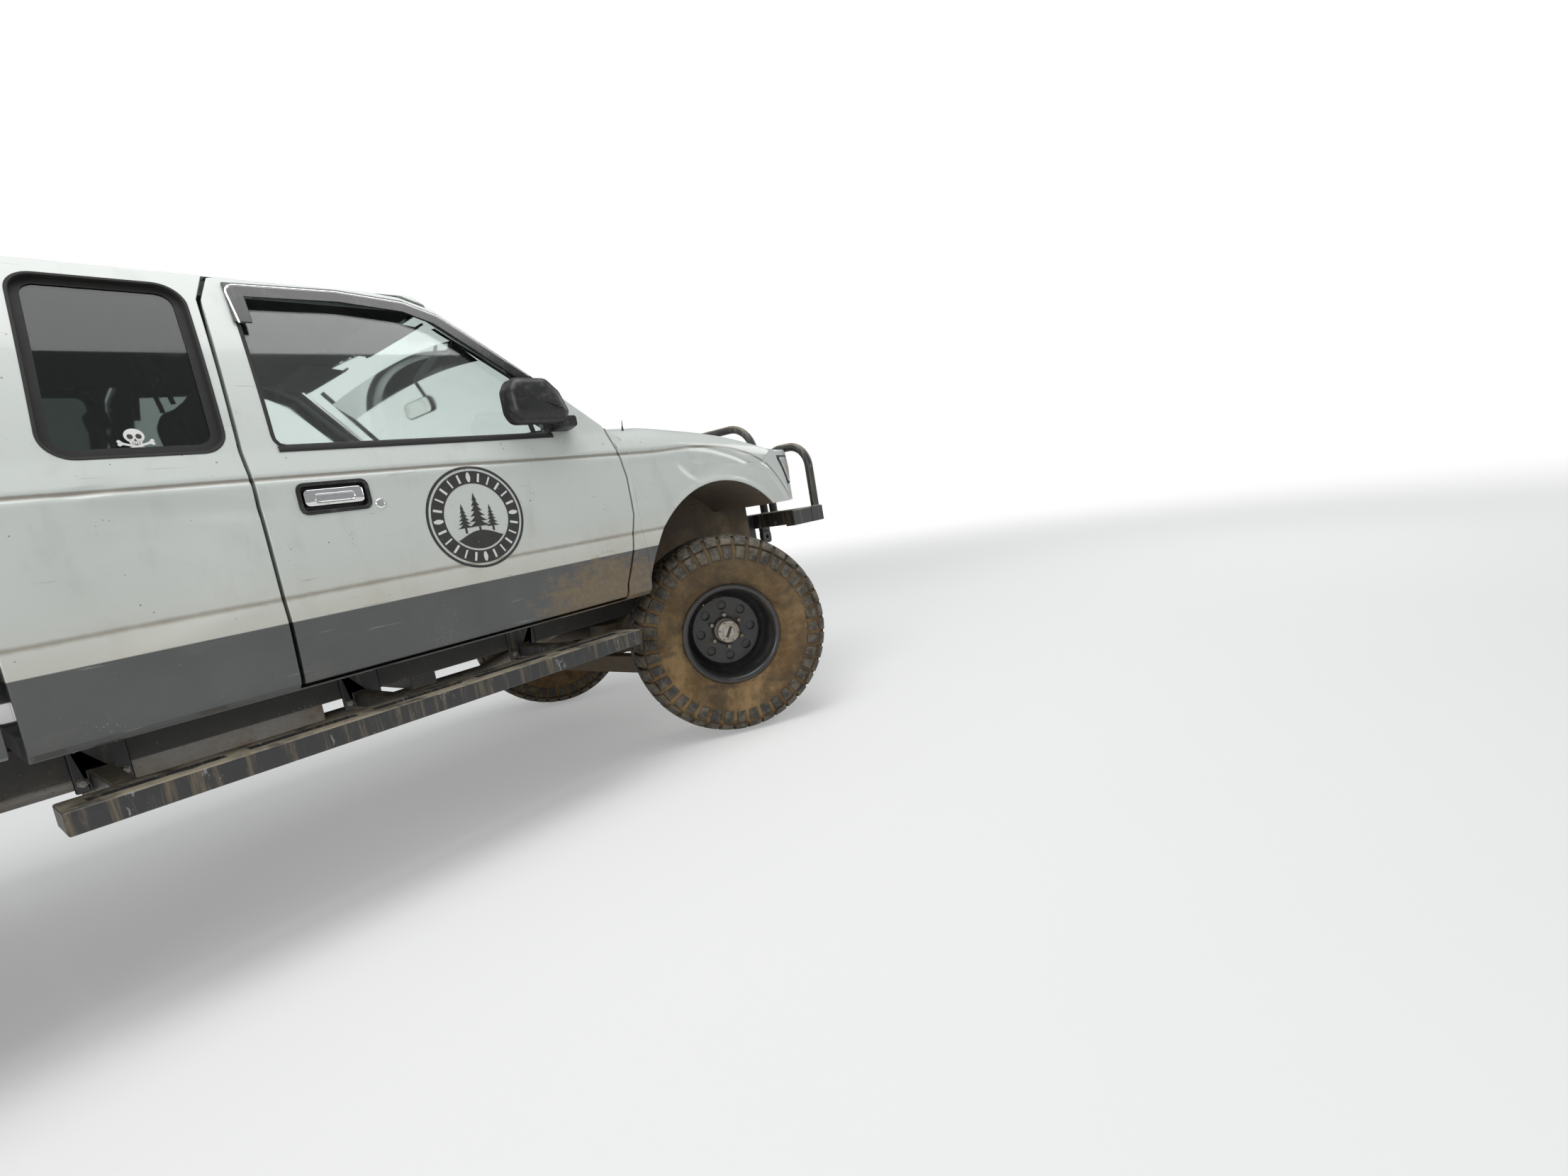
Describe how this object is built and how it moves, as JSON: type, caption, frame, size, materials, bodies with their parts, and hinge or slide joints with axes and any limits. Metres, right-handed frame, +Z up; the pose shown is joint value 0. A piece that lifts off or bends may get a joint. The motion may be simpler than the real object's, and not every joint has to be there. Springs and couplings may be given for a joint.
{
  "type": "lifted off-road pickup truck",
  "caption": "Lifted extended-cab 4x4 pickup with two-tone weathered paint, steel front bumper with hoops, rock sliders and mud tyres, front wheels turned.",
  "frame": {"origin": "on the ground under the middle of the truck's bounding box", "axes": "+X forward, +Y to the truck's left, +Z up"},
  "size_m": [5.136, 2.2374, 1.8301],
  "materials": {
    "white_paint": "worn gloss",
    "bed_paint": "scuffed",
    "cabin_trim": "matte",
    "seat_fabric": "woven",
    "floor_metal": "matte",
    "grille_black": "satin",
    "black_steel": "muddy satin",
    "wheel_black": "satin",
    "tyre_rubber": "muddy",
    "clear_glass": "clear",
    "lamp_glass": "clear",
    "tail_lens": "gloss",
    "bright_trim": "polished",
    "black_plastic": "satin",
    "cast_metal": "rough",
    "dull_steel": "dull"
  },
  "bodies": {
    "body": {"bed_floor": "bed_paint", "bed_front": "bed_paint", "bed_side_l": "white_paint", "bed_side_r": "white_paint", "cab_back": "white_paint", "cab_floor": "floor_metal", "cab_glass": "clear_glass", "cab_roof": "white_paint", "cab_side_l": "white_paint", "cab_side_r": "white_paint", "chassis_frame": "black_steel", "dashboard": "cabin_trim", "engine_block": "cast_metal", "exhaust": "dull_steel", "fender_l": "white_paint", "fender_r": "white_paint", "firewall": "floor_metal", "front_bumper": "black_steel", "front_suspension": "cast_metal", "fuel_tank": "dull_steel", "gearbox": "cast_metal", "headlamps": "lamp_glass", "leaf_springs": "cast_metal", "nose_panel": "grille_black", "radiator": "dull_steel", "rear_axle": "cast_metal", "rear_bumper": "black_steel", "seats": "seat_fabric", "sliders": "black_steel", "steering_wheel": "cabin_trim", "tail_lamps": "tail_lens", "windscreen": "clear_glass"},
    "door_r": {"door_r": "white_paint", "door_glass_r": "clear_glass", "handle_r": "bright_trim", "mirror_r": "black_plastic", "rain_guard_r": "black_plastic"},
    "door_l": {"door_l": "white_paint", "door_glass_l": "clear_glass", "handle_l": "bright_trim", "mirror_l": "black_plastic", "rain_guard_l": "black_plastic"},
    "hood": {"hood": "white_paint"},
    "tailgate": {"tailgate": "white_paint"},
    "steer_r": {"knuckle_r": "cast_metal"},
    "steer_l": {"knuckle_l": "cast_metal"},
    "wheel_fr": {"rim_fr": "wheel_black", "tyre_fr": "tyre_rubber"},
    "wheel_fl": {"rim_fl": "wheel_black", "tyre_fl": "tyre_rubber"},
    "wheel_rr": {"rim_rr": "wheel_black", "tyre_rr": "tyre_rubber"},
    "wheel_rl": {"rim_rl": "wheel_black", "tyre_rl": "tyre_rubber"}
  },
  "joints": [
    {"name": "steering_right", "type": "hinge", "parent": "body", "child": "steer_r", "pos_m": [1.728, -0.68, 0.419], "axis": [0, 0, 1], "range_deg": [-1.3, 70.7]},
    {"name": "steering_left", "type": "hinge", "parent": "body", "child": "steer_l", "pos_m": [1.728, 0.68, 0.419], "axis": [0, 0, 1], "range_deg": [-1.3, 70.7]},
    {"name": "spin_front_right", "type": "hinge", "parent": "steer_r", "child": "wheel_fr", "pos_m": [1.67392, -0.7581, 0.419], "axis": [0.5693, 0.8221, 0], "continuous": true},
    {"name": "spin_front_left", "type": "hinge", "parent": "steer_l", "child": "wheel_fl", "pos_m": [1.78208, 0.7581, 0.419], "axis": [0.5693, 0.8221, 0], "continuous": true},
    {"name": "spin_rear_right", "type": "hinge", "parent": "body", "child": "wheel_rr", "pos_m": [-1.368, -0.775, 0.419], "axis": [0, 1, 0], "continuous": true},
    {"name": "spin_rear_left", "type": "hinge", "parent": "body", "child": "wheel_rl", "pos_m": [-1.368, 0.775, 0.419], "axis": [0, 1, 0], "continuous": true},
    {"name": "door_right", "type": "hinge", "parent": "body", "child": "door_r", "pos_m": [1.148, -0.838, 1.019], "axis": [0, 0, 1], "range_deg": [0, 65]},
    {"name": "door_left", "type": "hinge", "parent": "body", "child": "door_l", "pos_m": [1.148, 0.838, 1.019], "axis": [0, 0, -1], "range_deg": [0, 65]},
    {"name": "hood_lift", "type": "hinge", "parent": "body", "child": "hood", "pos_m": [1.298, 0, 1.299], "axis": [0, -1, 0], "range_deg": [0, 50]},
    {"name": "tailgate_drop", "type": "hinge", "parent": "body", "child": "tailgate", "pos_m": [-2.44, 0, 0.844], "axis": [0, -1, 0], "range_deg": [0, 90]}
  ],
  "couplings": [
    {"joint": "steering_left", "follows": "steering_right", "ratio": 1}
  ]
}
